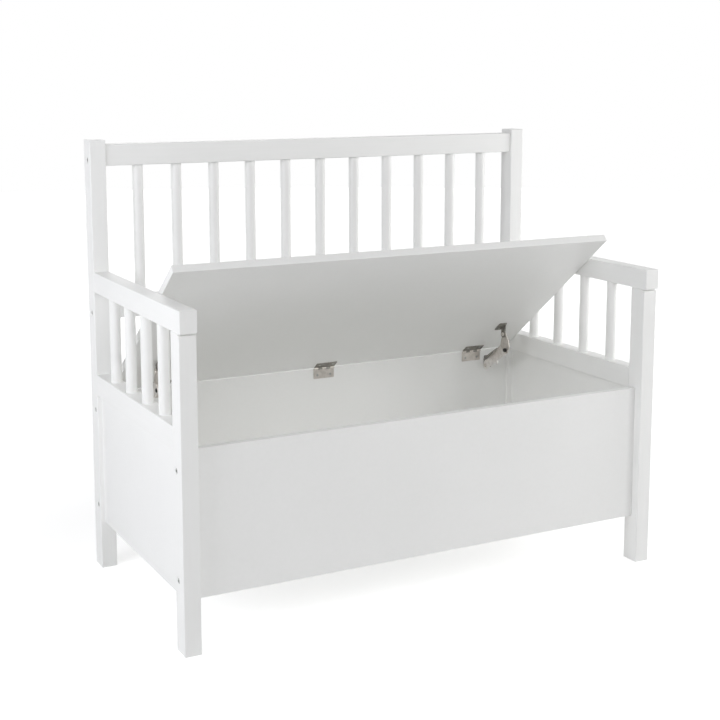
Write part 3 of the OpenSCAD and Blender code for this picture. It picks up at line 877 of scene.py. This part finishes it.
def dress_box_bracket(side, base):
    """The bracket on the back panel: a flange, and an ear that carries the lower arm."""
    node = "stay_box_bracket_" + side
    low, high = corners(node)
    ear_x = low.x if base.x > 0 else high.x - PLATE_THICK
    wall = high.y
    flange = rounded_leaf(Vector((low.x, wall - PLATE_THICK, low.z)), high, FLANGE_ROUND)
    root = wall - EAR_ROOT_DEEP
    ear = plate_across(ear_x, [(base.y, base.z, EAR_ROUND),
                               (root, low.z + EAR_ROOT_IN, EAR_ROOT_ROUND),
                               (root, high.z - EAR_ROOT_IN, EAR_ROOT_ROUND)])
    # The bracket gets the darker copy of the nickel: painted shade
    nickel(ease_edges(weld(flange, ear), PLATE_EASE), node, PAINTED_SHADE_NICKEL)


def dress_lid_bracket(side, base, pin):
    """The bracket under the lid: a flange, and an ear that holds the upper arm."""
    node = "stay_lid_bracket_" + side
    low, high = corners(node, LID_FRAME.inverted())
    ear_x = high.x - PLATE_THICK if base.x > 0 else low.x
    pin = LID_FRAME.inverted() @ pin
    flange_low = Vector((low.x, low.y, high.z - PLATE_THICK))
    flange_high = Vector((high.x, low.y + FLANGE_LONG, high.z))
    flange = rounded_leaf(flange_low, flange_high, FLANGE_ROUND)
    root = high.z - EAR_ROOT_DEEP
    ear = plate_across(ear_x, [(pin.y, pin.z, EAR_ROUND),
                               (low.y + FLANGE_LONG / 4, root, EAR_ROOT_ROUND),
                               (low.y + FLANGE_LONG - EAR_ROOT_IN, root, EAR_ROOT_ROUND)])
    piece = ease_edges(weld(flange, ear), PLATE_EASE)
    # The bracket gets the darker copy of the nickel: painted shade
    nickel(move(piece, LID_FRAME), node, PAINTED_SHADE_NICKEL)


def pins_of(node, turn=STANDING):
    """All the rivets of a CAD node, each as long and as wide as its solid."""
    made = []
    for points in islands(node, turn):
        low, high = span(points)
        middle = (low + high) / 2
        made.append(rivet(low.x + RIVET_HEAD, high.x - RIVET_HEAD, (middle.y, middle.z),
                          (high.z - low.z) / 2, RIVET_SHANK, RIVET_HEAD))
    return move(together(made), turn.inverted())


def dress_elbow(side, elbow):
    """The black elbow rivet, with a tall round cap on its inner end."""
    node = "stay_elbow_rivet_" + side
    low, high = corners(node)
    radius = (high.z - low.z) / 2
    long = high.x - low.x
    cap = [(radius * 0.55, 0), (radius * 0.85, 0.0004), (radius * 0.98, 0.0013),
           (radius, 0.0022), (radius, CAP_TALL)]
    shank = [(RIVET_SHANK, CAP_TALL), (RIVET_SHANK, long - RIVET_HEAD)]
    head = [(radius, long - RIVET_HEAD), (radius, long - RIVET_HEAD * 0.6),
            (radius * 0.8, long - RIVET_HEAD * 0.2), (radius * 0.4, long)]
    piece = turned(cap + shank + head, sides=40)
    inner = low.x if elbow.x > 0 else high.x
    stand(piece, (inner, elbow.y, elbow.z), (math.copysign(1, elbow.x), 0, 0))
    hand_over(piece, node, "_capped", BLACK)


def dress_stays():
    lid_rivets = [sum(span(points), Vector()) / 2 for points in islands("stay_lid_rivets")]
    for side in SIDES:
        base = Vector(JOINTS["stay_base_" + side]["pos_m"])
        elbow = Vector(JOINTS["stay_elbow_" + side]["pos_m"])
        pin = next(at for at in lid_rivets if at.x * base.x > 0)
        dress_lower_arm(side, base, elbow)
        dress_upper_arm(side, elbow, pin)
        dress_box_bracket(side, base)
        dress_lid_bracket(side, base, pin)
        dress_elbow(side, elbow)
    nickel(pins_of("stay_box_rivets"), "stay_box_rivets", NICKEL)
    nickel(pins_of("stay_lid_rivets", LID_FRAME.inverted()), "stay_lid_rivets", NICKEL)


# ---- Stage, light and camera ----

FLOOR_RADIUS = 9
FLOOR_TINT = (0.94, 0.94, 0.94, 1)
BACKDROP = (1, 1, 1, 1)
AMBIENT = (0.16, 0.16, 0.16, 1)

# The floor's glow, in steps of (share of its radius, strength)
FADE = (0.08, 0.45), (0.35, 1)

CAMERA_PLACE = (-1.3085, -2.4367, 1.0483)
CAMERA_TURN = 27.711
CAMERA_DIP = 8.744

# Name, place, target, size, power and tint
LAMPS = (
    ("window", (-3.4, 0.2, 1.3), (0, 0, 0.45), 2.4, 14.5, (0.94, 0.955, 1.0)),
    ("left", (-1.9, -0.55, 1.15), (0, 0.1, 0.4), 1.0, 13, (0.955, 0.965, 1.0)),
    ("front_left", (-1.9, -2.8, 2.3), (0, 0, 0.4), 1.8, 20, (1, 1, 1)),
    ("front_right", (1.5, -1.9, 1.7), (0.3, 0, 0.4), 1.2, 20, (1, 1, 1)),
    ("right", (2.2, -0.5, 1.0), (0, 0.1, 0.4), 1.0, 16, (1, 1, 1)),
    ("back", (0.6, 3.0, 2.6), (0, 0, 0.45), 2.0, 26, (1, 1, 1)),
)


def look_at(thing, target):
    thing.rotation_euler = (Vector(target) - thing.location).to_track_quat("-Z", "Y").to_euler()


def lamp(name, at, target, size, power, tint):
    bpy.ops.object.light_add(type="AREA", location=at)
    made = bpy.context.object
    made.name = name
    made.data.shape = "SQUARE"
    made.data.size = size
    made.data.energy = power
    made.data.color = tint
    made.visible_camera = False
    look_at(made, target)


def seen_share(tree):
    """1 for rays from the camera, mirrors and glass, and 0 for the light that falls on things."""
    path = tree.node("ShaderNodeLightPath", output="Is Camera Ray")
    glossy = tree.node("ShaderNodeLightPath", output="Is Glossy Ray")
    through = tree.node("ShaderNodeLightPath", output="Is Transmission Ray")
    return path + glossy + through


def make_world():
    world = bpy.data.worlds.new("studio")
    bpy.context.scene.world = world
    world.use_nodes = True
    tree = Finish(world.node_tree)
    sky = world.node_tree.nodes["Background"]
    tree.feed(sky.inputs["Color"], tree.between(seen_share(tree), AMBIENT, BACKDROP))


def make_floor():
    """A white floor that fades into the white backdrop and keeps the bench's soft shadow."""
    deselect()
    bpy.ops.mesh.primitive_circle_add(
        vertices=96, radius=FLOOR_RADIUS, fill_type="NGON", location=(0, 0, 0))
    floor = bpy.context.object
    floor.name = "floor"
    material = bpy.data.materials.new("white_floor")
    material.use_nodes = True
    tree = Finish(material.node_tree)
    material.node_tree.nodes.remove(material.node_tree.nodes["Principled BSDF"])
    length = {"operation": "LENGTH"}
    distance = tree.node("ShaderNodeVectorMath", length, {0: tree.place()}, output=1)
    fade = tree.ramp(distance * (1 / FLOOR_RADIUS), *FADE)
    lit = tree.node("ShaderNodeBsdfDiffuse", values={"Color": FLOOR_TINT})
    glow = tree.node("ShaderNodeEmission", values={"Strength": fade * seen_share(tree)})
    both = tree.node("ShaderNodeAddShader", values={0: lit, 1: glow})
    tree.feed(material.node_tree.nodes["Material Output"].inputs["Surface"], both)
    floor.data.materials.append(material)


def spread_light():
    """Inside a white box light goes from wall to wall many times before it comes out."""
    bpy.context.scene.cycles.diffuse_bounces = 16
    bpy.context.scene.cycles.max_bounces = 20


def make_camera():
    bpy.ops.object.camera_add(location=CAMERA_PLACE)
    camera = bpy.context.object
    camera.rotation_euler = (math.radians(90 - CAMERA_DIP), 0, math.radians(-CAMERA_TURN))
    camera.data.lens = 67.57
    camera.data.sensor_width = 36
    camera.data.shift_x = -0.0019
    camera.data.shift_y = -0.12
    bpy.context.scene.camera = camera


make_camera()
spread_light()
dress_frame()
dress_bottom()
dress_lid()
dress_hinges()
dress_stays()
dress_fasteners()
make_world()
make_floor()
for each in LAMPS:
    lamp(*each)
bpy.context.scene.view_settings.view_transform = "Standard"
